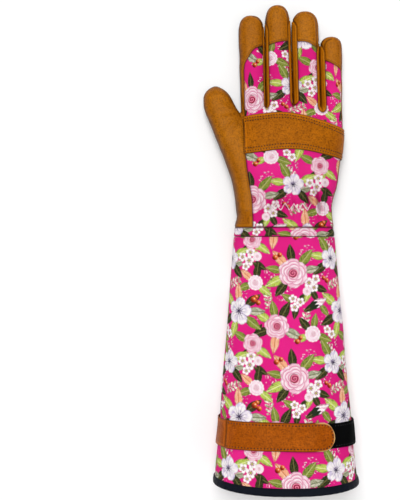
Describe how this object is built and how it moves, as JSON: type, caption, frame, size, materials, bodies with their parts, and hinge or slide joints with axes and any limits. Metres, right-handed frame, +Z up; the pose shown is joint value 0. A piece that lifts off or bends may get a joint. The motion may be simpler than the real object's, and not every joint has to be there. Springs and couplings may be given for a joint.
{
  "type": "rose pruning gauntlet",
  "caption": "Long gardening glove for the right hand: leather palm, printed canvas back and forearm cuff, knuckle band, gathered wrist, strap closure and bound hem",
  "frame": {"origin": "On the floor, under the middle of the glove's box as it lies palm down", "axes": "+Z up out of the back of the hand, +Y along the glove towards the fingertips, +X towards the little finger"},
  "size_m": [0.1492, 0.4698, 0.0848],
  "materials": {
    "glove_leather": "soft brushed caramel leather with fine grain",
    "printed_canvas": null,
    "touch_fabric": "black brushed touch fabric",
    "loop_tape": "black napped loop tape",
    "binding_tape": "navy woven binding tape"
  },
  "bodies": {
    "root": {"palm_leather": "glove_leather", "thumb_front_leather": "glove_leather", "index_front_leather": "glove_leather", "middle_front_leather": "glove_leather", "ring_front_leather": "glove_leather", "little_front_leather": "glove_leather", "thumb_leather": "glove_leather", "back_cloth": "printed_canvas", "finger_cloth": "printed_canvas", "fourchette_index_middle": "glove_leather", "fourchette_middle_ring": "glove_leather", "fourchette_ring_little": "glove_leather", "knuckle_band": "glove_leather", "palm_patch": "glove_leather", "touch_tip_thumb": "touch_fabric", "touch_tip_index": "touch_fabric", "touch_tip_middle": "touch_fabric", "wrist_yoke": "printed_canvas", "cuff": "printed_canvas", "strap": "glove_leather", "loop_patch": "loop_tape", "hem_binding": "binding_tape"}
  },
  "joints": []
}
